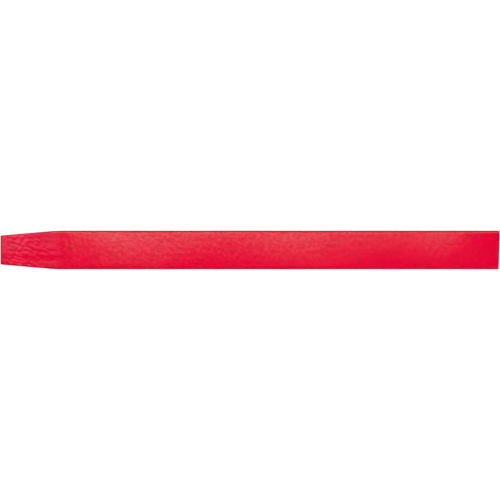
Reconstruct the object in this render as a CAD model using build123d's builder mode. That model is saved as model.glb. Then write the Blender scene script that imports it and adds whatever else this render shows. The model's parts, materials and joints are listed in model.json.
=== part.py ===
from build123d import *
from math import radians, tan
import os

# A flat carpenter pencil, lying on its broad side. Two grooved wooden slats are glued round a
# flat lead, shaped to a bar, undercoated and lacquered. One end is planed to a shallow taper on
# all four sides and dipped. The other end is sawn off square, a little askew, and left bare.
#
# +X runs along the pencil, from the dipped end to the sawn end. Y goes across its broad side and
# +Z is up. The origin is under the middle of the pencil, on the surface that it lies on.
# Every length is in millimetres and every angle in degrees.

# ---------------------------------------------------------------- driving dimensions

length = 177.8  # overall, from the dipped end to the sawn end's furthest corner
width = 13.8  # of the lacquered barrel, across its broad side
thickness = 7.2  # of the lacquered barrel, from broad side to broad side
corner_radius = 0.8  # of the lacquered barrel's four long edges

lacquer_film = 0.12
undercoat_film = 0.08

taper_length = 20.4
taper_angle = 5.0  # of each of the four planed sides
taper_edge_radius = 0.35  # of the taper's long edges
saw_skew = 1.4  # of the sawn end, seen from above

dip_film = 0.07  # of the dip coat on the sides
dip_bead = 0.15  # of the dip coat on the end face, where it ran together and dried
dip_bite = 0.02  # how deep the dip softened the lacquer that it went over, and took its place
dip_reach = 30.0  # from the dipped end to the coat's other edge
dip_rim_radius = 0.22

lead_width = 5.4
lead_thickness = 2.2
lead_corner_radius = 0.5
bedding_film = 0.1  # of glue, all round the lead
seam_film = 0.08  # of glue, between the slats' lands

# ---------------------------------------------------------------- places worked out from them

middle_z = dip_film + thickness / 2
dipped_x = -length / 2
sawn_x = length / 2 - tan(radians(saw_skew)) * width / 2
wood_x = dipped_x + dip_bead
shoulder_x = dipped_x + taper_length
dip_edge_x = dipped_x + dip_reach

coats = lacquer_film + undercoat_film
wood_width = width - 2 * coats
wood_thickness = thickness - 2 * coats
wood_radius = corner_radius - coats
groove_width = lead_width + 2 * bedding_film
groove_thickness = lead_thickness + 2 * bedding_film
groove_radius = lead_corner_radius + bedding_film
land_width = (wood_width - groove_width) / 2
land_y = (wood_width + groove_width) / 4

stock_end = 2.0  # spare length at each end of the stock, for the plane and the saw to take off
stock_length = length + 2 * stock_end
form_reach = 6.0  # how far past the shoulder the taper's planes are carried, clear of the barrel

saw_plane = Plane(
    origin=(sawn_x, 0, middle_z),
    z_dir=(1, -tan(radians(saw_skew)), 0),
)


def cross_plane(x):
    """The plane that stands across the pencil at x, with its own x along +Y."""
    return Plane(origin=(x, 0, middle_z), x_dir=(0, 1, 0), z_dir=(1, 0, 0))


def taper_form(start_x, film):
    """Everything inside the taper's four sides, with a film of the given depth on them."""
    sections = []
    for x in (start_x, shoulder_x + form_reach):
        growth = 2 * (film + (x - shoulder_x) * tan(radians(taper_angle)))
        with BuildSketch(cross_plane(x)) as section:
            RectangleRounded(width + growth, thickness + growth, taper_edge_radius + film)
        sections.append(section.sketch)
    loft(sections, ruled=True)


# ---------------------------------------------------------------- forms that cut the pieces

# What the plane, the saw and the dip leave of the coated stock: everything inside the taper's
# four sides, up to the saw cut, and inside the dip's bite as far along as the dip reaches.
with BuildPart() as cut_form:
    taper_form(wood_x, 0)
    with BuildSketch(cross_plane(shoulder_x + form_reach)):
        Rectangle(2 * width, 2 * thickness)
    extrude(amount=length)
    split(bisect_by=saw_plane, keep=Keep.BOTTOM)
    with BuildSketch(cross_plane(dipped_x)):
        Rectangle(2 * width, 2 * thickness)
        RectangleRounded(
            width - 2 * dip_bite,
            thickness - 2 * dip_bite,
            corner_radius - dip_bite,
            mode=Mode.SUBTRACT,
        )
    extrude(amount=dip_reach, mode=Mode.SUBTRACT)

# The outside of the whole pencil before it is dipped.
with BuildPart() as planed_pencil:
    with BuildSketch(cross_plane(dipped_x - stock_end)):
        RectangleRounded(width, thickness, corner_radius)
    extrude(amount=stock_length)
    add(cut_form.part, mode=Mode.INTERSECT)


def slat_stock():
    """The glued-up bar of wood with the lead's groove through it, both slats in one."""
    with BuildSketch(cross_plane(dipped_x - stock_end)) as section:
        RectangleRounded(wood_width, wood_thickness, wood_radius)
        RectangleRounded(
            groove_width, groove_thickness, groove_radius, mode=Mode.SUBTRACT
        )
    extrude(section.sketch, amount=stock_length)


def film_stock(outer_width, outer_thickness, outer_radius, film):
    """A thin coat round the whole bar, its outside of the given size."""
    with BuildSketch(cross_plane(dipped_x - stock_end)) as section:
        RectangleRounded(outer_width, outer_thickness, outer_radius)
        RectangleRounded(
            outer_width - 2 * film,
            outer_thickness - 2 * film,
            outer_radius - film,
            mode=Mode.SUBTRACT,
        )
    extrude(section.sketch, amount=stock_length)


def seam_stock(y):
    """The glue film on one pair of lands."""
    with BuildSketch(cross_plane(dipped_x - stock_end)) as section:
        with Locations((y, 0)):
            Rectangle(land_width, seam_film)
    extrude(section.sketch, amount=stock_length)


# ---------------------------------------------------------------- wood

with BuildPart() as upper_slat:
    slat_stock()
    split(bisect_by=Plane.XY.offset(middle_z + seam_film / 2), keep=Keep.TOP)
    add(cut_form.part, mode=Mode.INTERSECT)

with BuildPart() as lower_slat:
    slat_stock()
    split(bisect_by=Plane.XY.offset(middle_z - seam_film / 2), keep=Keep.BOTTOM)
    add(cut_form.part, mode=Mode.INTERSECT)

# ---------------------------------------------------------------- lead and glue

with BuildPart() as graphite_lead:
    with BuildSketch(cross_plane(dipped_x - stock_end)):
        RectangleRounded(lead_width, lead_thickness, lead_corner_radius)
    extrude(amount=stock_length)
    add(cut_form.part, mode=Mode.INTERSECT)

with BuildPart() as lead_bedding_glue:
    film_stock(groove_width, groove_thickness, groove_radius, bedding_film)
    add(cut_form.part, mode=Mode.INTERSECT)

with BuildPart() as front_seam_glue:
    seam_stock(-land_y)
    add(cut_form.part, mode=Mode.INTERSECT)

with BuildPart() as back_seam_glue:
    seam_stock(land_y)
    add(cut_form.part, mode=Mode.INTERSECT)

# ---------------------------------------------------------------- coats

with BuildPart() as undercoat:
    film_stock(
        wood_width + 2 * undercoat_film,
        wood_thickness + 2 * undercoat_film,
        wood_radius + undercoat_film,
        undercoat_film,
    )
    add(cut_form.part, mode=Mode.INTERSECT)

with BuildPart() as red_lacquer:
    film_stock(width, thickness, corner_radius, lacquer_film)
    add(cut_form.part, mode=Mode.INTERSECT)

# The dip covers the end face, the taper and the first stretch of the lacquered barrel.
with BuildPart() as end_dip_coat:
    taper_form(dipped_x, dip_film)
    with BuildSketch(cross_plane(shoulder_x + form_reach)):
        Rectangle(2 * width, 2 * thickness)
    extrude(amount=dip_edge_x - shoulder_x - form_reach)
    with BuildSketch(cross_plane(dipped_x)):
        RectangleRounded(
            width + 2 * dip_film, thickness + 2 * dip_film, corner_radius + dip_film
        )
    extrude(amount=dip_reach, mode=Mode.INTERSECT)
    fillet(faces().sort_by(Axis.X)[0].edges(), radius=dip_rim_radius)
    add(planed_pencil.part, mode=Mode.SUBTRACT)

# ---------------------------------------------------------------- hand over

pieces = {
    "upper_slat": upper_slat,
    "lower_slat": lower_slat,
    "graphite_lead": graphite_lead,
    "lead_bedding_glue": lead_bedding_glue,
    "front_seam_glue": front_seam_glue,
    "back_seam_glue": back_seam_glue,
    "undercoat": undercoat,
    "red_lacquer": red_lacquer,
    "end_dip_coat": end_dip_coat,
}

os.makedirs("parts", exist_ok=True)
for name, piece in pieces.items():
    piece.part.label = name
    export_step(piece.part, f"parts/{name}.step")
    print(name, len(piece.part.solids()), "solid,", round(piece.part.volume, 2), "mm3")
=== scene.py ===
import json
from math import cos, pi, radians, sin, tan

import bmesh
import bpy
import numpy as np
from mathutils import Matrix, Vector


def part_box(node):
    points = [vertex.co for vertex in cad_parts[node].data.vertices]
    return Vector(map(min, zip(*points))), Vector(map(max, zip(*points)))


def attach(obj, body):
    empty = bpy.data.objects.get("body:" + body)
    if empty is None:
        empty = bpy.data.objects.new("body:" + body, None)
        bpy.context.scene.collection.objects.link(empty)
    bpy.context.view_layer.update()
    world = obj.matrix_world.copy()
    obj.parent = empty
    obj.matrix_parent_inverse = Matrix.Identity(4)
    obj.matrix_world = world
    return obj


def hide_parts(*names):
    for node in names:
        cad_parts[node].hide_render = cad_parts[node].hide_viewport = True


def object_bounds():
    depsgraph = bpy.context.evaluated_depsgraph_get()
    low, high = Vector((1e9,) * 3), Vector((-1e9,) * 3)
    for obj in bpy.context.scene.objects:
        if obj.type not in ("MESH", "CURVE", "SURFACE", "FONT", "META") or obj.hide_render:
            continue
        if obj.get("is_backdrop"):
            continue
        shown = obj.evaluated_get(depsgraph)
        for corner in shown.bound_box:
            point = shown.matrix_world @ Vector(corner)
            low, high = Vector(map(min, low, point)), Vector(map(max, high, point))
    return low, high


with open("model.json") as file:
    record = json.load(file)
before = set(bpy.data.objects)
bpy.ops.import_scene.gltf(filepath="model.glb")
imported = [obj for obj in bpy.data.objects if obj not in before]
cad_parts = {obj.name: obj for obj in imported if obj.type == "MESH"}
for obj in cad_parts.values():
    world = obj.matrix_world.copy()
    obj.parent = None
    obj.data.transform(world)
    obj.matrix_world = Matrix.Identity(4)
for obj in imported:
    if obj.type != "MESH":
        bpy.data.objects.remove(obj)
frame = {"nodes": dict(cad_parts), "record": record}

# A flat carpenter pencil on a pale table, seen from straight above. Every piece is one closed skin,
# made of rows of points that mostly run round the pencil.

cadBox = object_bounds()
mm = 0.001
print("frame loaded:", ", ".join(sorted(frame["nodes"])))

pencil = {
    "cornerRadius": 0.8 * mm,  # of the lacquered barrel's long edges
    "leadRadius": 0.5 * mm,
    "taperLength": 20.4 * mm,
    "taperAngle": radians(5.0),
    "taperRadius": 0.45 * mm,  # of the dipped taper's long edges
    "shoulderSoftness": 2.5 * mm,  # how far the coats round over the taper's start, each way
}


def halfSize(node):
    low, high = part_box(node)
    return (high.y - low.y) / 2, (high.z - low.z) / 2


barrelLow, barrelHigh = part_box("red_lacquer")
dipLow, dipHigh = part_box("end_dip_coat")
seamLow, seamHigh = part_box("front_seam_glue")
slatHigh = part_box("upper_slat")[1]
middleZ = (barrelLow.z + barrelHigh.z) / 2
seamHalf = (seamHigh.z - seamLow.z) / 2
shoulderX = dipLow.x + pencil["taperLength"]
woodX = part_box("lower_slat")[0].x
lacquerFilm = (barrelHigh.y - barrelLow.y) / 2 - halfSize("undercoat")[0]
undercoatFilm = halfSize("undercoat")[0] - slatHigh.y
groove = halfSize("lead_bedding_glue")
lead = halfSize("graphite_lead")
beddingFilm = groove[0] - lead[0]
dipFilm = (dipHigh.y - dipLow.y) / 2 - halfSize("red_lacquer")[0]
coatStart = shoulderX + 0.2 * mm  # where the lacquer and the undercoat start, under the dip
sharpest = 0.02 * mm  # the least corner radius of a ring on an end face
slit = seamHalf + 0.03 * mm  # half the height of the innermost ring on an end face

sawnMount = next(m for m in frame["record"]["mounts"] if m["name"] == "sawn_end")
sawnX = sawnMount["pos_m"][0]
sawnSkew = -sawnMount["axis"][1] / sawnMount["axis"][0]  # how much longer the pencil is per metre of +Y


def waves(points, seed, shortest, longest, stretch=(1, 1, 1), count=30):
    # a smooth random height of mean 0 and spread 1, as a sum of plane waves in a band of lengths
    random = np.random.default_rng(seed)
    squeezed = points / np.array(stretch, float)
    total = np.zeros(points.shape[:-1])
    for _ in range(count):
        heading = random.normal(size=3)
        heading /= np.linalg.norm(heading)
        waveLength = shortest * (longest / shortest) ** random.random()
        total += np.sin(squeezed @ heading * (2 * pi / waveLength) + 2 * pi * random.random())
    return total / (count / 2) ** 0.5


def smoothStep(value, start, end):
    t = np.clip((value - start) / (end - start), 0, 1)
    return t * t * (3 - 2 * t)


def halfLoop(halfY, halfZ, radius, counts):
    # the upper half of a rounded rectangle from its right foot over to its left one: the points
    # (y, z) from the middle and their outward normals; the sizes may be arrays, one per ring
    side, corner, top = counts
    halfY, halfZ, radius = [np.atleast_1d(np.asarray(v, float))[:, None] for v in (halfY, halfZ, radius)]
    turn = np.linspace(0, pi / 2, corner + 1)[:-1]
    rise = np.linspace(0, 1, side + 1)[:-1]
    across = np.linspace(1, -1, top + 1)
    ones = np.ones
    part = [ones(side), ones(corner), across, -ones(corner), -ones(side)]
    lift = [rise, ones(corner), ones(top + 1), ones(corner), rise[::-1]]
    normalY = [ones(side), np.cos(turn), 0 * across, -np.cos(turn[::-1]), -ones(side)]
    normalZ = [0 * rise, np.sin(turn), ones(top + 1), np.sin(turn[::-1]), 0 * rise]
    part, lift, normalY, normalZ = [np.concatenate(v)[None, :] for v in (part, lift, normalY, normalZ)]
    y = part * (halfY - radius) + radius * normalY
    z = seamHalf + lift * (halfZ - radius - seamHalf) + radius * normalZ
    normals = np.broadcast_to(np.stack([normalY, normalZ], -1), y.shape + (2,))
    return np.stack([y, z], -1), normals


def fullLoop(halfY, halfZ, radius, counts):
    # the upper half and its mirror image below the seam, as one closed ring of points
    points, normals = halfLoop(halfY, halfZ, radius, counts)
    flip = np.array([1, -1])
    return (
        np.concatenate([points, points[:, ::-1] * flip], 1),
        np.concatenate([normals, normals[:, ::-1] * flip], 1),
    )


def place(x, loops):
    # rings of (y, z) from the middle, put at x in the row frame
    x = np.broadcast_to(x, loops.shape[:-1])
    return np.stack([x, loops[..., 0], loops[..., 1] + middleZ], -1)


class Skin:
    # patches of points, welded into one closed mesh where their edges meet
    weld = 0.5e-6  # points that are nearer than this become one
    sliver = 0.1e-6  # shorter edges than this are taken out

    def __init__(self):
        self.points = []
        self.paintedShades = []
        self.faces = []
        self.size = 0

    def keep(self, points, pool=0.0):
        first = self.size
        self.points.append(points.reshape(-1, 3))
        self.paintedShades.append(np.broadcast_to(pool, points.shape[:-1]).ravel())
        self.size += len(self.points[-1])
        return first

    def grid(self, points, wrap=False, pool=0.0):
        # the painted shade: how much deeper the coat's colour is painted at each point, round 0
        rows, columns = points.shape[:2]
        index = self.keep(points, pool) + np.arange(rows * columns).reshape(rows, columns)
        if wrap:
            index = np.concatenate([index, index[:, :1]], 1)
        corners = index[:-1, :-1], index[:-1, 1:], index[1:, 1:], index[1:, :-1]
        self.faces += np.stack(corners, -1).reshape(-1, 4).tolist()

    def outline(self, points):
        first = self.keep(points)
        self.faces.append(list(range(first, first + len(points))))

    def finish(self, name, node, slot, material, sharpAbove=35):
        mesh = bpy.data.meshes.new(name)
        mesh.from_pydata(np.concatenate(self.points).tolist(), [], self.faces)
        paintedShades = mesh.attributes.new("pool", "FLOAT", "POINT")
        paintedShades.data.foreach_set("value", np.concatenate(self.paintedShades).astype(np.float32))
        work = bmesh.new()
        work.from_mesh(mesh)
        bmesh.ops.remove_doubles(work, verts=work.verts, dist=self.weld)
        bmesh.ops.dissolve_degenerate(work, edges=work.edges, dist=self.sliver)
        bmesh.ops.recalc_face_normals(work, faces=work.faces)
        for face in work.faces:
            face.smooth = True
        openEdges = sum(not edge.is_manifold for edge in work.edges)
        work.to_mesh(mesh)
        work.free()
        mesh.set_sharp_from_angle(angle=radians(sharpAbove))
        mesh.materials.append(material)
        piece = bpy.data.objects.new(name, mesh)
        bpy.context.scene.collection.objects.link(piece)
        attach(piece, "root")
        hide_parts(node)
        print(f"{name}: {len(mesh.polygons)} faces, {openEdges} open edges")


class Shade:
    # a socket that takes part in sums: each operator on values adds one Math node
    def __init__(self, finish, socket):
        self.finish = finish
        self.socket = socket

    def maths(self, operation, first, second=0.0):
        return self.finish.add("ShaderNodeMath", {"operation": operation}, {0: first, 1: second})

    def __add__(self, other):
        return self.maths("ADD", self, other)

    def __radd__(self, other):
        return self.maths("ADD", other, self)

    def __sub__(self, other):
        return self.maths("SUBTRACT", self, other)

    def __rsub__(self, other):
        return self.maths("SUBTRACT", other, self)

    def __mul__(self, other):
        return self.maths("MULTIPLY", self, other)

    def __rmul__(self, other):
        return self.maths("MULTIPLY", other, self)

    def __truediv__(self, other):
        return self.maths("DIVIDE", self, other)

    def __pow__(self, other):
        return self.maths("POWER", self, other)

    def ramp(self, *limits, **settings):
        return self.finish.ramp(self, *limits, **settings)


class Finish:
    # the nodes of one material, or of the sky
    def __init__(self, name, kept=bpy.data.materials):
        self.made = kept.new(name)
        self.made.use_nodes = True
        self.tree = self.made.node_tree
        self.tree.nodes.clear()

    def add(self, kind, settings=None, sockets=None, output=0):
        node = self.tree.nodes.new(kind)
        for key, value in (settings or {}).items():
            if key == "stops":
                ramp = node.color_ramp.elements
                while len(ramp) < len(value):
                    ramp.new(0.5)
                for element, (position, colour) in zip(ramp, value):
                    element.position = position
                    element.color = (*colour, 1)
            else:
                setattr(node, key, value)
        for key, value in (sockets or {}).items():
            if isinstance(value, Shade):
                self.tree.links.new(value.socket, node.inputs[key])
            else:
                node.inputs[key].default_value = value
        if output is not None:
            return Shade(self, node.outputs[output])

    def place(self, kind="Object"):
        return self.add("ShaderNodeTexCoord", output=kind)

    def axes(self, kind="Object"):
        spread = self.add("ShaderNodeSeparateXYZ", {}, {0: self.place(kind)}).socket.node
        return [Shade(self, spread.outputs[i]) for i in range(3)]

    def noise(self, size, detail=2.0, roughness=0.5, stretch=(1, 1, 1), shift=(0, 0, 0)):
        # a cloudy value round 0.5 whose lumps are about this size, longer along a stretched axis
        scale = tuple(1 / (size * s) for s in stretch)
        sockets = {"Vector": self.place(), "Scale": scale, "Location": shift}
        spot = self.add("ShaderNodeMapping", {}, sockets)
        return self.add(
            "ShaderNodeTexNoise",
            {"noise_dimensions": "3D", "normalize": True},
            {"Vector": spot, "Scale": 1.0, "Detail": detail, "Roughness": roughness},
        )

    def ramp(self, value, low, high, toLow=0.0, toHigh=1.0, kind="SMOOTHSTEP"):
        return self.add(
            "ShaderNodeMapRange",
            {"interpolation_type": kind, "clamp": True},
            {"Value": value, "From Min": low, "From Max": high, "To Min": toLow, "To Max": toHigh},
        )

    def blend(self, factor, first, second):
        first, second = [v if isinstance(v, Shade) else (*v, 1) for v in (first, second)]
        return self.add("ShaderNodeMix", {"data_type": "RGBA"}, {0: factor, 6: first, 7: second}, output=2)

    def bump(self, height, distance):
        return self.add("ShaderNodeBump", {}, {"Height": height, "Distance": distance, "Strength": 1.0})

    def output(self, shader, kind="ShaderNodeOutputMaterial"):
        self.add(kind, {}, {"Surface": shader}, output=None)
        return self.made

    def surface(self, **sockets):
        names = {key.replace("_", " "): value for key, value in sockets.items()}
        return self.output(self.add("ShaderNodeBsdfPrincipled", {}, names))

    def emission(self, strength, tint=(1, 1, 1)):
        return self.add("ShaderNodeEmission", {}, {"Color": (*tint, 1), "Strength": strength})


# The saw cut, which every piece but the dip ends on.

sawCut = {
    "teeth": 5e-6,  # height of the teeth marks, as a spread
    "teethSize": (0.22 * mm, 0.7 * mm),
    "sweep": 9e-6,  # height of the saw's slower swerves
    "sweepSize": (2.5 * mm, 6 * mm),
}


def sawRelief(y, z):
    # how far the sawn face stands out along the pencil
    points = np.stack([0 * y, y, z], -1)
    marks = waves(points, 11, *sawCut["teethSize"], stretch=(1, 1, 14), count=24)
    swerves = waves(points, 12, *sawCut["sweepSize"], count=12)
    return sawCut["teeth"] * marks + sawCut["sweep"] * swerves


def sawnEnd(loops):
    # where a section's points lie along the pencil on the sawn face
    return sawnX + sawnSkew * loops[..., 0] + sawRelief(loops[..., 0], loops[..., 1])


# Red lacquer on the barrel. The bar under it has a slight twist and slow waves of its own.

lacquerLook = {
    "colour": (0.825, 0.0018, 0.039),  # where it lies thin
    "deepColour": (0.69, 0.0002, 0.027),  # and where it lies deep, which painted shade also darkens it towards
    "rimShadeColour": (0.30, 0.0010, 0.012),  # painted shade along the saw cut
    "edgeShade": 0.9,  # painted shade: how much deeper the colour is painted along the long edges
    "mottle": 3.4,  # how strongly the pigment clouds
    "mottleSize": 0.78 * mm,
    "roughness": 0.035,
    "gloss": (1.0, 0.48),  # of the clear top, where the pigment is thin and where it clouds
    "grit": 1.8e-6,  # height of the finest pebbling
    "gritSize": 0.65 * mm,
    "peel": 0.8e-6,  # height of the orange peel, as a spread
    "peelSize": (0.85 * mm, 2.0 * mm),
    "swell": 6e-6,  # the bar's slow waves
    "swellSize": (16 * mm, 46 * mm),
    "twist": (  # the broad side's tilt at places along the pencil
        (-44 * mm, radians(0.21)),
        (-18 * mm, radians(-0.09)),
        (18 * mm, radians(0.12)),
        (52 * mm, radians(-0.18)),
        (67 * mm, radians(-0.03)),
    ),
    "seamSink": 9e-6,  # how far the lacquer sinks along the seam between the slats
    "seamWidth": 0.16 * mm,
    "wear": (0.1 * mm, 0.45 * mm),  # how deep and how far along the sawn rim is worn down
    "nicks": 16,  # that the saw left in the rim
    "nick": 0.10 * mm,  # how deep the deepest can be
    "nickReach": (0.12 * mm, 0.37 * mm),
    "rimShade": (4, 0.4),  # painted shade: how deep the colour is painted at the sawn rim, and over what share of the worn stretch
    "sunk": 0.08 * mm,  # how much deeper it lies where the dip hides it
    "counts": (11, 6, 44),  # steps up half a narrow side, round a corner and across a broad side
    "step": 0.28 * mm,  # along the barrel
    "underDip": 1.5 * mm,  # how far under the dip's edge those steps start
}


def eased(x, knots):
    # a value that eases from each knot's to the next one's
    value = np.full_like(x, knots[0][1])
    for (start, before), (end, after) in zip(knots, knots[1:]):
        value = value + (after - before) * smoothStep(x, start, end)
    return value


def barHeight(points, normals):
    # how far the coated bar stands out from its plain form, on the barrel
    low, high = lacquerLook["peelSize"]
    height = lacquerLook["peel"] * waves(points, 3, low, high, stretch=(1, 1.8, 1.8), count=70)
    low, high = lacquerLook["swellSize"]
    height += lacquerLook["swell"] * waves(points, 4, low, high, count=24)
    height -= eased(points[..., 0], lacquerLook["twist"]) * points[..., 1] * normals[..., 1]
    fromSeam = (points[..., 2] - middleZ) / lacquerLook["seamWidth"]
    nearSeam = np.exp(-(fromSeam**2)) * np.abs(normals[..., 0])
    return height - lacquerLook["seamSink"] * nearSeam


def shifted(points, normals, height):
    moved = points.copy()
    moved[..., 1] += normals[..., 0] * height
    moved[..., 2] += normals[..., 1] * height
    return moved


def cornerShade(normals):
    # painted shade, full round the long edges, where the normals lean both ways, and none on the flat sides
    return lacquerLook["edgeShade"] * 4 * (normals[..., 0] * normals[..., 1]) ** 2


def makeLacquer(material):
    halfY, halfZ = halfSize("red_lacquer")
    radius = pencil["cornerRadius"]
    counts = lacquerLook["counts"]
    fineStart = dipHigh.x - lacquerLook["underDip"]
    hidden = np.linspace(coatStart, fineStart, 5)[:-1]
    wear, worn = lacquerLook["wear"]
    steps = int((sawnX - worn - fineStart) / lacquerLook["step"])
    rim = sawnX - worn * np.linspace(1, 0, 5)[1:]
    along = np.concatenate([hidden, np.linspace(fineStart, sawnX - worn, steps), rim])
    loops, normals = fullLoop(halfY, halfZ, radius, counts)
    end = sawnEnd(loops[0])
    shear = (along[:, None] - coatStart) / (sawnX - coatStart)
    x = along[:, None] + shear * (end - sawnX)[None, :]
    loops = np.repeat(loops, len(along), 0)
    normals = np.repeat(normals, len(along), 0)
    outer = place(x, loops)
    fromRim = np.clip((sawnX - along) / worn, 0, 1)[:, None]
    sunk = lacquerLook["sunk"] * (along < fineStart)[:, None]
    outer = shifted(outer, normals, barHeight(outer, normals) - wear * (1 - fromRim) ** 2 - sunk)
    random = np.random.default_rng(21)
    ring = outer[-1]
    least, most = lacquerLook["nickReach"]
    for _ in range(lacquerLook["nicks"]):
        spot = ring[random.integers(len(ring))]
        depth = lacquerLook["nick"] * random.random() ** 2
        reach = least + (most - least) * random.random()
        away = np.linalg.norm(outer[-3:] - spot, axis=-1)
        outer[-3:, :, 0] -= depth * np.exp(-((away / reach) ** 2))
    film = lacquerFilm
    innerLoops, _ = fullLoop(halfY - film, halfZ - film, radius - film, counts)
    innerEnd = sawnEnd(innerLoops[0])
    inner = place(np.stack([np.full(len(innerEnd), coatStart), innerEnd]), np.repeat(innerLoops, 2, 0))
    # painted shade along the long edges and at the sawn rim
    rimShade, share = lacquerLook["rimShade"]
    pool = cornerShade(normals) + rimShade * smoothStep(-fromRim, -1, share - 1)
    skin = Skin()
    skin.grid(outer, wrap=True, pool=pool)
    skin.grid(inner, wrap=True)
    skin.grid(np.stack([outer[0], inner[0]]), wrap=True)
    skin.grid(np.stack([outer[-1], inner[-1]]), wrap=True)
    skin.finish("lacquerOnBarrel", "red_lacquer", "red_lacquer", material)


coatLook = {
    "cloudSize": 6 * mm,
    "cloud": 0.5,  # how strongly the slow clouds deepen the colour
    "depths": (-0.75, 0.75),  # from where the colour is thin to where it is deep
    "shadeTurn": (2, 4),  # the painted shade over which the colour turns to the painted shade colour
    "patches": (0.44, 0.56),  # the mottle's values over which gloss and roughness change
    "duller": 0.03,  # how much rougher the colour is where the mottle is high
    "edgeGloss": 0.1,  # of the colour itself, under its clear top
}


def lacquerFinish(name, look):
    # clear red lacquer, deeper in colour where its pigment clouds and where shade is painted on it
    finish = Finish(name)
    cloud = finish.noise(coatLook["cloudSize"], detail=3)
    mottle = finish.noise(look["mottleSize"], detail=2, roughness=0.7, stretch=(1.4, 1, 1))
    # the attribute holds painted shade, laid along the long edges, the rims and between wrinkles
    pool = finish.add("ShaderNodeAttribute", {"attribute_name": "pool"}, {}, output="Fac")
    depth = pool + (mottle - 0.5) * look["mottle"] + (cloud - 0.5) * coatLook["cloud"]
    colour = finish.blend(depth.ramp(*coatLook["depths"]), look["colour"], look["deepColour"])
    colour = finish.blend(pool.ramp(*coatLook["shadeTurn"]), colour, look["rimShadeColour"])
    patches = coatLook["patches"]
    grit = finish.noise(look["gritSize"], detail=2, stretch=(1, 1.4, 1), shift=(3.1, 7.4, 1.7))
    return finish.surface(
        Base_Color=colour,
        Roughness=look["roughness"] + mottle.ramp(*patches, 0, coatLook["duller"]),
        Specular_IOR_Level=coatLook["edgeGloss"],
        Coat_Weight=mottle.ramp(*patches, *look["gloss"]),
        Coat_Roughness=look["roughness"],
        Normal=finish.bump(grit, look["grit"]),
    )


# Dip coat on the tapered end. It is so thin that the planed wood's grain wrinkles it.

dipLook = {
    "colour": (0.86, 0.0012, 0.038),
    "deepColour": (0.66, 0.0009, 0.027),
    # painted shade colour, also used on the end face
    "rimShadeColour": (0.36, 0.0006, 0.016),
    "mottle": 4.0,
    "mottleSize": 1.1 * mm,
    "roughness": 0.05,
    "gloss": (1.0, 0.85),
    "grit": 4e-6,
    "gritSize": 0.5 * mm,
    "grain": 3.9e-6,  # height of the wood's grain through the coat, as a spread
    "grainPitch": 1.45 * mm,  # between wrinkles
    "grainLean": radians(24),  # of the wrinkles to the pencil's length
    "grainShade": 0.38,  # how much deeper the colour is painted between wrinkles, partly the coat lying deeper there and partly painted shade of the wrinkles
    "grainOnBarrel": 0.03,  # the share of it that is left where the dip lies on the lacquer
    "grainEnds": (-9 * mm, 2 * mm),  # the stretch by the taper's start where it sinks to that
    "smoothEnd": (1.3 * mm, 3.2 * mm),  # how far from the end the dip is smooth, then wrinkled in full
    "runs": 2.0e-6,  # height of the slow waves that the coat dried in
    "runSize": (1.6 * mm, 5 * mm),
    "bead": 12e-6,  # how much thicker the coat is by the end, where it ran together
    "beadReach": (0.6 * mm, 3.0 * mm),  # how far from the end that is so, in full and at all
    "edgeWander": 0.9 * mm,  # of the dip's edge on the barrel
    "edgeReach": 5 * mm,  # the stretch by that edge where the waves calm down
    "edgeDrop": 2e-6,  # and how much thinner the coat is there
    "thinned": (-11 * mm, 1 * mm),  # the stretch by the taper's start where it thins out
    "thinFilm": 4e-6,  # how thick it is left on the barrel
    "barrelStarts": (-12 * mm, 2 * mm),  # the stretch where the barrel's own waves come in
    "endPool": 2.6,  # painted shade: how deep the colour is painted on the end face and its rim
    "crown": 0.05 * mm,  # how far the middle of the end face lies back
    "endWaves": 6e-6,  # height of the waves on the end face
    "lip": 0.03 * mm,  # how far in the coat's inside starts at its edge
    "counts": (24, 8, 86),
    "step": 0.15 * mm,
    "rimRadius": 0.3 * mm,
}


def dipSection(x):
    # half width, half thickness and edge radius of the dipped end at x
    halfY, halfZ = halfSize("end_dip_coat")
    ahead = shoulderX - x
    soft = pencil["shoulderSoftness"]
    turning = np.clip(ahead, -soft, soft) + soft
    drop = tan(pencil["taperAngle"]) * (np.maximum(ahead - soft, 0) + turning**2 / (4 * soft))
    full = pencil["cornerRadius"] + dipFilm
    radius = full + (pencil["taperRadius"] - full) * smoothStep(drop, 0, 0.45 * mm)
    return halfY - drop, halfZ - drop, radius


def grainHeight(points, normals):
    # growth rings cut at a slant stand up as short, wandering wrinkles on the broad sides and as
    # long streaks on the narrow ones; mean 0 and spread about 1 before they fade along the pencil
    x, y = points[..., 0], points[..., 1]
    lean = dipLook["grainLean"]
    warp = 0.15 * mm * waves(points, 31, 1.6 * mm, 3.6 * mm, stretch=(1.4, 1, 1))
    warp += 0.35 * mm * waves(points, 32, 6 * mm, 11 * mm)
    phase = 2 * pi * (x * sin(lean) + y * cos(lean) + warp) / dipLook["grainPitch"]
    ridge = 1.3 * np.sin(phase) + 0.4 * np.sin(2 * phase + 0.8)
    broken = np.clip(0.5 + 0.7 * waves(points, 33, 1.5 * mm, 3.6 * mm, stretch=(1.6, 1, 1)), 0, 1.5)
    wrinkle = waves(points, 34, 0.9 * mm, 2.2 * mm, stretch=(1.6, 1, 1), count=40)
    broad = ridge * broken + 0.6 * wrinkle
    narrow = waves(points, 35, 0.5 * mm, 1.2 * mm, stretch=(12, 1, 1), count=40) + 0.4 * wrinkle
    weight = normals[..., 1] ** 2
    fade = smoothStep(x - dipLow.x, *dipLook["smoothEnd"])
    left = 1 - dipLook["grainOnBarrel"]
    fade = fade * (1 - left * smoothStep(x - shoulderX, *dipLook["grainEnds"]))
    return fade * (weight * broad + (1 - weight) * narrow)


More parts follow.
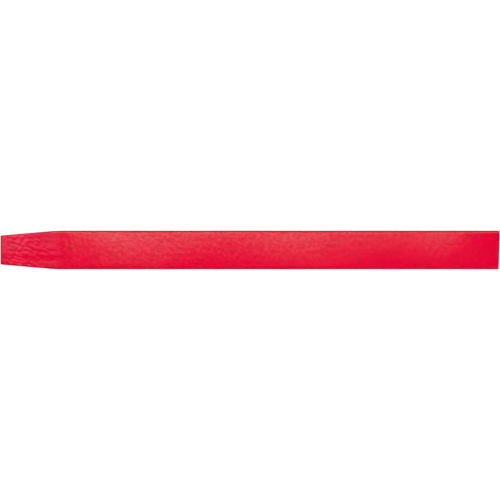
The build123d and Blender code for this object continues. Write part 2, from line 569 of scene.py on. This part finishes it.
def makeDip(material):
    counts = dipLook["counts"]
    rim = dipLook["rimRadius"]
    length = dipHigh.x - dipLow.x
    # rings from the dip's edge on the barrel down to where the rim starts to turn
    along = np.linspace(0, 1, int((length - rim) / dipLook["step"]))
    loops, normals = fullLoop(*dipSection(np.full(1, dipHigh.x)), counts)
    edgePoints = place(dipHigh.x, loops)[0]
    wander = waves(edgePoints, 41, 5 * mm, 14 * mm) + 0.35 * waves(edgePoints, 42, 1.2 * mm, 3 * mm)
    wander = dipLook["edgeWander"] * (wander - wander.max()) / (wander.max() - wander.min())
    rimX = dipLow.x + rim
    edgeX = dipHigh.x + wander
    x = edgeX[None, :] + along[:, None] * (rimX - edgeX)[None, :]
    halfY, halfZ, radius = dipSection(x.mean(1))
    loops, normals = fullLoop(halfY, halfZ, radius, counts)
    outer = place(x, loops)
    # the coat ran down towards the end, where it dried as a bead, and left a thin film behind it
    thin = smoothStep(x - shoulderX, *dipLook["thinned"])
    edge = smoothStep(x - edgeX[None, :], -dipLook["edgeReach"], 0)
    beadFull, beadEnd = dipLook["beadReach"]
    bead = smoothStep(dipLow.x - x, -beadEnd, -beadFull)
    grain = grainHeight(outer, normals)
    height = dipLook["grain"] * grain + dipLook["bead"] * bead - (dipFilm - dipLook["thinFilm"]) * thin
    height += (1 - edge) * dipLook["runs"] * waves(outer, 43, *dipLook["runSize"])
    height -= edge * dipLook["edgeDrop"]
    height += barHeight(outer, normals) * smoothStep(x - shoulderX, *dipLook["barrelStarts"])
    outer = shifted(outer, normals, height)
    skin = Skin()
    # painted shade along the long edges and between the grain's wrinkles
    pool = cornerShade(normals) - dipLook["grainShade"] * grain
    skin.grid(outer, wrap=True, pool=pool)
    # the rim turns over onto the end face, which closes on a line along its middle
    turn = np.linspace(0, pi / 2, 8)[1:]
    last = outer[-1]
    lastY, lastZ, lastRadius = halfY[-1], halfZ[-1], radius[-1]
    rings = [last]
    for angle in turn:
        inset = rim * (1 - cos(angle))
        ring, _ = fullLoop(lastY - inset, lastZ - inset, max(lastRadius - inset, sharpest), counts)
        rings.append(place(rimX - rim * sin(angle), ring)[0])
    inner = lastZ - rim
    for depth in np.linspace(0, inner - slit, 10)[1:]:
        inset = rim + depth
        ring, _ = fullLoop(lastY - inset, lastZ - inset, sharpest, counts)
        crown = dipLook["crown"] * (depth / inner) ** 1.5
        rings.append(place(dipLow.x + crown, ring)[0])
    rings = np.stack(rings)
    rings[1:, :, 0] += dipLook["endWaves"] * waves(rings[1:], 44, 0.9 * mm, 2.5 * mm)
    # painted shade on the rim and the end face
    skin.grid(rings, wrap=True, pool=dipLook["endPool"])
    closing = rings[-1]
    half = len(closing) // 2
    skin.grid(np.stack([closing[:half], closing[half:][::-1]]))
    # the inside lies on the lacquer and on the planed wood
    insideX = np.array([dipHigh.x, shoulderX, woodX])
    halfY, halfZ, radius = dipSection(insideX)
    ring, _ = fullLoop(halfY - dipFilm, halfZ - dipFilm, radius - dipFilm, counts)
    inside = place(insideX[:, None], ring)
    inside[0, :, 0] = outer[0, :, 0]
    inside[0, :, 1:] = outer[0, :, 1:] - dipLook["lip"] * normals[0]
    skin.grid(inside, wrap=True)
    skin.grid(np.stack([outer[0], inside[0]]), wrap=True)
    closing = []
    for depth in np.linspace(0, halfZ[-1] - dipFilm - slit, 4)[1:]:
        ring, _ = fullLoop(halfY[-1] - dipFilm - depth, halfZ[-1] - dipFilm - depth, sharpest, counts)
        closing.append(place(woodX, ring)[0])
    skin.grid(np.stack([inside[-1], *closing]), wrap=True)
    skin.grid(np.stack([closing[-1][:half], closing[-1][half:][::-1]]))
    skin.finish("dipOnTaper", "end_dip_coat", "dip_coat", material)


# Undercoat, wood, glue and lead, which show on the sawn end.

sawnLook = {
    "counts": (22, 5, 84),
    "rings": 26,  # steps from the wood's outside to the groove
    "ringPitch": 1.05 * mm,
    "upperPith": (3.5 * mm, 19 * mm),  # across and up from the middle
    "lowerPith": (-9.0 * mm, -15 * mm),
    "latewood": 9e-6,  # how far the hard rings stand out of the sawn face
    "lateAt": (0.82, 0.12),  # where in each ring that is, and over what share of it
    "torn": 5e-6,  # height of the torn fibres, as a spread
    "leadProud": 12e-6,
    "leadEdge": (0.05 * mm, 0.13 * mm),  # the lead's crumbled edge
    "pits": 6e-6,
    "glueSunk": 8e-6,
    "undercoatSunk": 4e-6,
}


def ringPhase(y, z, pith):
    return np.hypot(y - pith[0], z - pith[1]) / sawnLook["ringPitch"]


def woodRelief(loops, pith):
    y, z = loops[..., 0], loops[..., 1]
    points = np.stack([0 * y, y, z], -1)
    phase = ringPhase(y, z, pith) % 1
    middle, breadth = sawnLook["lateAt"]
    late = np.exp(-(((phase - middle) / breadth) ** 2))
    torn = waves(points, 51, 0.18 * mm, 0.5 * mm, count=36)
    return sawnLook["latewood"] * late + sawnLook["torn"] * torn


def sectionSizes(inset):
    # half width, half thickness and edge radius of the bar, this far inside its lacquer
    halfY, halfZ = halfSize("red_lacquer")
    return halfY - inset, halfZ - inset, pencil["cornerRadius"] - inset


def taperDrop(x):
    return max(0, (shoulderX - x) * tan(pencil["taperAngle"]))


def makeSlat(name, node, up, pith, material):
    counts = sawnLook["counts"]
    outerSize = np.array(sectionSizes(lacquerFilm + undercoatFilm))
    grooveSize = np.array([*groove, pencil["leadRadius"] + beddingFilm])
    share = np.linspace(0, 1, sawnLook["rings"] + 1)[:, None]
    sizes = outerSize + (grooveSize - outerSize) * share
    loops, _ = halfLoop(*sizes.T, counts)
    loops = loops * np.array([1, up])
    rim = (share > 0) & (share < 1)
    endX = sawnEnd(loops) + rim * woodRelief(loops, pith)
    end = place(endX, loops)
    skin = Skin()
    skin.grid(end)
    # the outside follows the taper under the dip; the groove runs straight through
    shoulder, _ = halfLoop(*outerSize, counts)
    shoulder = place(shoulderX, shoulder * np.array([1, up]))[0]
    drop = taperDrop(woodX) - lacquerFilm - undercoatFilm
    tip, _ = halfLoop(outerSize[0] - drop, outerSize[1] - drop, pencil["taperRadius"], counts)
    tip = place(woodX, tip * np.array([1, up]))[0]
    grooveTip = end[-1].copy()
    grooveTip[:, 0] = woodX
    skin.grid(np.stack([end[0], shoulder, tip]))
    skin.grid(np.stack([end[-1], grooveTip]))
    skin.grid(np.stack([tip, grooveTip]))
    for foot in (0, -1):
        skin.outline(np.concatenate([end[:, foot], [grooveTip[foot], tip[foot], shoulder[foot]]]))
    skin.finish(name, node, "casing_wood", material)


def makeSleeve(name, node, slot, outerSize, innerSize, start, proud, material):
    # a thin layer all round, such as the undercoat and the glue round the lead
    counts = sawnLook["counts"]
    skin = Skin()
    walls = []
    for size in (outerSize, innerSize):
        loop, _ = fullLoop(*size, counts)
        endX = sawnEnd(loop)
        walls.append(place(np.concatenate([np.full_like(endX, start), endX]), np.repeat(loop, 2, 0)))
    middle, _ = fullLoop(*((np.array(outerSize) + np.array(innerSize)) / 2), counts)
    lip = place(sawnEnd(middle) + proud, middle)
    for wall in walls:
        skin.grid(wall, wrap=True)
    skin.grid(np.stack([walls[0][0], walls[1][0]]), wrap=True)
    skin.grid(np.stack([walls[0][1], lip[0], walls[1][1]]), wrap=True)
    skin.finish(name, node, slot, material)


def makeLead(material):
    counts = sawnLook["counts"]
    halfY, halfZ = lead
    radius = pencil["leadRadius"]
    rings = []
    crumbled, whole = sawnLook["leadEdge"]
    depths = np.concatenate([[0, crumbled], np.linspace(whole, halfZ - slit, 12)])
    for depth in depths:
        ring, _ = fullLoop(halfY - depth, halfZ - depth, max(radius - depth, sharpest), counts)
        proud = sawnLook["leadProud"] * (depth > 0)
        points = np.stack([0 * ring[..., 0], ring[..., 0], ring[..., 1]], -1)
        pits = np.minimum(0, sawnLook["pits"] * (waves(points, 61, 0.15 * mm, 0.6 * mm) + 0.6)) * (depth > 0)
        rings.append(place(sawnEnd(ring) + proud + pits, ring)[0])
    rings = np.stack(rings)
    skin = Skin()
    skin.grid(rings, wrap=True)
    half = rings.shape[1] // 2
    skin.grid(np.stack([rings[-1][:half], rings[-1][half:][::-1]]))
    tip = rings.copy()
    tip[..., 0] = woodX
    skin.grid(np.stack([rings[0], tip[0]]), wrap=True)
    skin.grid(tip, wrap=True)
    skin.grid(np.stack([tip[-1][:half], tip[-1][half:][::-1]]))
    skin.finish("leadInGroove", "graphite_lead", "graphite", material)


def makeSeam(name, node, side, material):
    # the thin line of glue between the slats, from the groove out to the undercoat
    counts = sawnLook["counts"]
    outerSize = np.array(sectionSizes(lacquerFilm + undercoatFilm))
    share = np.linspace(0, 1, sawnLook["rings"] + 1)
    outerY = outerSize[0]
    y = side * (outerY + (groove[0] - outerY) * share)
    tipY = side * (outerY - taperDrop(woodX) + lacquerFilm + undercoatFilm)
    skin = Skin()
    rows = []
    for z in (-seamHalf, seamHalf):
        loop = np.stack([y, np.full_like(y, z)], -1)
        end = place(sawnEnd(loop), loop)
        tips = np.array([[woodX, side * groove[0], middleZ + z], [woodX, tipY, middleZ + z]])
        shoulder = np.array([[shoulderX, side * outerY, middleZ + z]])
        rows.append(np.concatenate([end, tips, shoulder]))
    skin.grid(np.stack(rows), wrap=True)
    skin.outline(rows[0])
    skin.outline(rows[1][::-1])
    skin.finish(name, node, "dried_glue", material)


woodLook = {
    "early": (0.63, 0.42, 0.25),
    "late": (0.36, 0.19, 0.095),
    "pore": (0.26, 0.14, 0.075),
    "ray": (0.74, 0.55, 0.37),
    "rays": 420.0,  # per turn round the pith, over 2 pi
    "smear": (0.085, 0.08, 0.08),  # graphite that the saw dragged over the wood beside the lead
    "ringWarp": 0.5 * mm,
}


def woodFinish(name, pith):
    finish = Finish(name)
    _, y, z = finish.axes()
    warp = finish.noise(5 * mm, detail=2) - 0.5
    acrossPith = y - pith[0] + warp * woodLook["ringWarp"]
    abovePith = z - (middleZ + pith[1])
    radius = (acrossPith**2 + abovePith**2) ** 0.5
    phase = finish.add("ShaderNodeMath", {"operation": "FRACT"}, {0: radius / sawnLook["ringPitch"]})
    late = phase.ramp(0.45, 0.86) * (1 - phase.ramp(0.9, 0.99))
    wood = finish.blend(late, woodLook["early"], woodLook["late"])
    pores = finish.noise(0.16 * mm, detail=3, roughness=0.7, stretch=(20, 1, 1))
    wood = finish.blend(pores.ramp(0.5, 0.72, 0, 0.45), wood, woodLook["pore"])
    turn = finish.add("ShaderNodeMath", {"operation": "ARCTAN2"}, {0: abovePith, 1: acrossPith})
    rays = finish.add("ShaderNodeMath", {"operation": "SINE"}, {0: turn * woodLook["rays"] + warp * 9.0})
    wood = finish.blend(rays.ramp(0.75, 1.0, 0, 0.22), wood, woodLook["ray"])
    fromLead = finish.add("ShaderNodeMath", {"operation": "ABSOLUTE"}, {0: z - middleZ}) / lead[1]
    besideLead = finish.add("ShaderNodeMath", {"operation": "ABSOLUTE"}, {0: y}) / lead[0]
    streaks = finish.noise(0.35 * mm, detail=3, stretch=(1, 1, 9))
    near = (1 - fromLead.ramp(0.9, 2.1)) * (1 - besideLead.ramp(0.92, 1.12))
    wood = finish.blend(near * streaks.ramp(0.42, 0.66, 0, 0.55), wood, woodLook["smear"])
    normal = finish.bump(pores, 6e-6)
    return finish.surface(Base_Color=wood, Roughness=0.78 - 0.12 * late, IOR=1.45, Normal=normal)


leadLook = {
    "dark": (0.045, 0.046, 0.05),
    "pale": (0.12, 0.122, 0.13),
    "scratch": (0.2, 0.2, 0.212),
    "roughness": 0.46,
    "metallic": 0.55,
}


def leadFinish():
    finish = Finish("graphite")
    grit = finish.noise(0.12 * mm, detail=3, roughness=0.65)
    marks = finish.noise(0.22 * mm, detail=2, stretch=(1, 1, 16))
    colour = finish.blend(grit.ramp(0.35, 0.7), leadLook["dark"], leadLook["pale"])
    colour = finish.blend(marks.ramp(0.5, 0.7, 0, 0.5), colour, leadLook["scratch"])
    rough = leadLook["roughness"] - marks.ramp(0.4, 0.7, 0, 0.16)
    normal = finish.bump(marks + grit, 5e-6)
    return finish.surface(Base_Color=colour, Roughness=rough, Metallic=leadLook["metallic"], Normal=normal)


glueLook = {
    "pale": (0.62, 0.47, 0.27),
    "dark": (0.40, 0.26, 0.12),
    "roughness": 0.45,
    "cloudSize": 0.4 * mm,
}

undercoatLook = {
    "pale": (0.78, 0.70, 0.60),
    "dark": (0.66, 0.50, 0.42),
    "roughness": 0.62,
    "cloudSize": 0.5 * mm,
}


def filmFinish(name, look):
    # a thin cut layer, cloudy and a little soiled
    finish = Finish(name)
    cloud = finish.noise(look["cloudSize"], detail=3)
    colour = finish.blend(cloud.ramp(0.35, 0.68), look["pale"], look["dark"])
    normal = finish.bump(cloud, 4e-6)
    rough = look["roughness"] + cloud.ramp(0.3, 0.7, -0.06, 0.06)
    return finish.surface(Base_Color=colour, Roughness=rough, Normal=normal)


print("materials")
redLacquer = lacquerFinish("redLacquer", lacquerLook)
redDip = lacquerFinish("redDip", dipLook)
glue = filmFinish("driedGlue", glueLook)
pale = filmFinish("paleUndercoat", undercoatLook)
graphite = leadFinish()
upperWood = woodFinish("upperWood", sawnLook["upperPith"])
lowerWood = woodFinish("lowerWood", sawnLook["lowerPith"])

print("pieces")
makeLacquer(redLacquer)
makeDip(redDip)
makeSlat("upperSlat", "upper_slat", 1, sawnLook["upperPith"], upperWood)
makeSlat("lowerSlat", "lower_slat", -1, sawnLook["lowerPith"], lowerWood)
bedSize = (*groove, pencil["leadRadius"] + beddingFilm)
leadSize = (*lead, pencil["leadRadius"])
glueProud = -sawnLook["glueSunk"]
makeSleeve("glueRoundLead", "lead_bedding_glue", "dried_glue", bedSize, leadSize, woodX, glueProud, glue)
coatSizes = sectionSizes(lacquerFilm), sectionSizes(lacquerFilm + undercoatFilm)
coatProud = -sawnLook["undercoatSunk"]
makeSleeve("undercoatLayer", "undercoat", "undercoat", *coatSizes, coatStart, coatProud, pale)
makeLead(graphite)
makeSeam("glueInFrontSeam", "front_seam_glue", -1, glue)
makeSeam("glueInBackSeam", "back_seam_glue", 1, glue)


# Table, lights and camera.

studio = {
    "lens": 120.0,
    "sensor": 36.0,
    "spread": 1.0004,  # the share of the picture's width that the pencil's length fills
    "aside": 0.125 * mm,
    "panelHeight": 0.95,
    "panelGlow": 2.35,
    "panelTint": (0.6, 0.98, 0.8),
    "panelNear": -6.9 * mm,  # where on the pencil the panel's dark near edge is mirrored
    "panelFar": 9.0 * mm,  # and where it is mirrored at full glow
    "panelLeft": (-63 * mm, -43 * mm),  # where its glow starts, and where it is full
    "panelRight": (67 * mm, 83 * mm),  # where its glow starts to fade, and where it is gone
    "panelLean": (-0.8, 0.25),  # how far each end runs on along the pencil for each step across
    "panelFall": (-30 * mm, 15 * mm, 0.77),  # where it dims a little to the right, and to what share
    "endGlow": 0.6,  # of the panel's stretch that the tapered end mirrors
    "endGlowEdge": (-0.02, 0.03),  # where it starts and is full, across the pencil
    "endGlowFade": (0.10, 0.27),  # the stretch over which it dims, from where the very end mirrors
    "endGlowTip": (0.014, 0.027),  # the stretch before which it glows more
    "tipGlow": 2.1,  # how much more it glows there
    "endGlowTint": (0.9, 1, 1.4),
    "tableGlow": 0.92,
    "tableColour": 0.3,
    "wallGlow": 1.0,
    "skyLow": 0.3,
    "skyTop": 0.012,
    "skyBand": (0.12, 0.5),  # from where the sky starts to darken to where it is darkest
    "lamps": {  # where each stands, the length of its sides and its power
        "keyLight": ((-0.35, 0.8, 0.95), 0.6, 9),
        "topLight": ((0.1, -0.1, 1.3), 0.8, 11),
        "frontLight": ((0.25, -1.0, 0.45), 0.6, 4.5),
        "sawnEndLight": ((1.2, 0.1, 0.3), 0.6, 5),
    },
}


def stagePlane(name, corners, material):
    mesh = bpy.data.meshes.new(name)
    mesh.from_pydata(corners, [], [tuple(range(len(corners)))])
    mesh.materials.append(material)
    plane = bpy.data.objects.new(name, mesh)
    bpy.context.scene.collection.objects.link(plane)
    plane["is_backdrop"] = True
    return plane


def makeTable():
    grey, half = studio["tableColour"], 4.0
    material = Finish("paleTable").surface(
        Base_Color=(grey, grey, grey, 1),
        Roughness=1.0,
        Specular_IOR_Level=0.0,
        Emission_Color=(1, 1, 1, 1),
        Emission_Strength=studio["tableGlow"],
    )
    corners = [(-half, -half, 0), (half, -half, 0), (half, half, 0), (-half, half, 0)]
    table = stagePlane("table", corners, material)
    table.visible_diffuse = False
    table.visible_glossy = False


def sheenGlow(x, y, reach):
    # the glow whose reflection is the sheen on the barrel, less towards its near edge and its ends
    across = y.ramp(studio["panelNear"] * reach, studio["panelFar"] * reach, kind="LINEAR")
    leftStart, leftFull = studio["panelLeft"]
    rightFull, rightEnd = studio["panelRight"]
    leftLean, rightLean = studio["panelLean"]
    left = (x - leftLean * y).ramp(leftStart * reach, leftFull * reach)
    right = (x - rightLean * y).ramp(rightFull * reach, rightEnd * reach, 1, 0)
    fallStart, fallEnd, rest = studio["panelFall"]
    full = studio["panelGlow"]
    fall = x.ramp(fallStart * reach, fallEnd * reach, full, full * rest)
    return across**1.5 * left * right * fall


def endGlow(x, y, reach):
    # the glow further along that only the tapered end mirrors
    middle = dipLow.x * reach - studio["panelHeight"] * tan(2 * pencil["taperAngle"])
    near, far = studio["endGlowEdge"]
    tipStart, tipEnd = studio["endGlowTip"]
    fadeStart, fadeEnd = studio["endGlowFade"]
    glow = y.ramp(near, far, 0, studio["endGlow"], kind="LINEAR")
    glow = glow * x.ramp(middle + tipStart, middle + tipEnd, studio["tipGlow"], 1)
    return glow * x.ramp(middle + fadeStart, middle + fadeEnd, 1, 0)


def makePanel():
    # one soft panel overhead with both glows on it, seen only as a reflection
    height = middleZ + studio["panelHeight"]
    reach = 1 + studio["panelHeight"] / cameraHeight
    half = 0.5
    near = min(studio["panelNear"] * reach, studio["endGlowEdge"][0])
    finish = Finish("panelGlow")
    x, y, _ = finish.axes()
    sheen = finish.emission(sheenGlow(x, y, reach), studio["panelTint"])
    end = finish.emission(endGlow(x, y, reach), studio["endGlowTint"])
    both = finish.add("ShaderNodeAddShader", {}, {0: sheen, 1: end})
    corners = [(-half, half, height), (half, half, height), (half, near, height), (-half, near, height)]
    panel = stagePlane("overheadPanel", corners, finish.output(both))
    panel.visible_camera = False


def makeWall():
    # a pale wall far off, all round, that only closes the picture
    wallRadius, wallHeight, steps = 3.9, 4.0, 64
    turns = [2 * pi * i / steps for i in range(steps)]
    foot = [(wallRadius * cos(t), wallRadius * sin(t), -0.01) for t in turns]
    top = [(x, y, wallHeight) for x, y, _ in foot]
    faces = [(i, (i + 1) % steps, steps + (i + 1) % steps, steps + i) for i in range(steps)]
    mesh = bpy.data.meshes.new("wall")
    mesh.from_pydata(foot + top, [], faces)
    finish = Finish("paleWall")
    mesh.materials.append(finish.output(finish.emission(studio["wallGlow"])))
    wall = bpy.data.objects.new("wall", mesh)
    bpy.context.scene.collection.objects.link(wall)
    wall.visible_diffuse = False
    wall.visible_glossy = False
    wall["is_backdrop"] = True


def addLight(name, spot, size, power):
    # a soft lamp that lights the colours but isn't mirrored in the lacquer
    data = bpy.data.lights.new(name, "AREA")
    data.shape = "SQUARE"
    data.size = size
    data.energy = power
    lamp = bpy.data.objects.new(name, data)
    lamp.location = spot
    lamp.rotation_euler = (-Vector(spot)).to_track_quat("-Z", "Y").to_euler()
    lamp.visible_glossy = False
    bpy.context.scene.collection.objects.link(lamp)


def makeSky():
    # paler round the horizon and dark overhead, so that only the panel shows in the lacquer
    finish = Finish("sky", bpy.data.worlds)
    _, _, up = finish.axes("Generated")
    strength = up.ramp(*studio["skyBand"], studio["skyLow"], studio["skyTop"])
    glow = finish.add("ShaderNodeBackground", {}, {"Strength": strength})
    bpy.context.scene.world = finish.output(glow, "ShaderNodeOutputWorld")


print("studio")
camera = bpy.data.objects.new("camera", bpy.data.cameras.new("camera"))
camera.data.lens = studio["lens"]
camera.data.sensor_width = studio["sensor"]
pictureWidth = (cadBox[1].x - cadBox[0].x) / studio["spread"]
cameraHeight = pictureWidth * studio["lens"] / studio["sensor"]  # above the upper broad side
camera.location = (studio["aside"], 0, barrelHigh.z + cameraHeight)
camera.data.clip_end = 50
bpy.context.scene.collection.objects.link(camera)
bpy.context.scene.camera = camera
makeTable()
makePanel()
makeWall()
makeSky()
for lampName, (spot, size, power) in studio["lamps"].items():
    addLight(lampName, spot, size, power)
bpy.context.scene.view_settings.view_transform = "Standard"

print("done")
size = {"cad": [list(v) for v in cadBox], "visual": [list(v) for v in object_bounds()]}
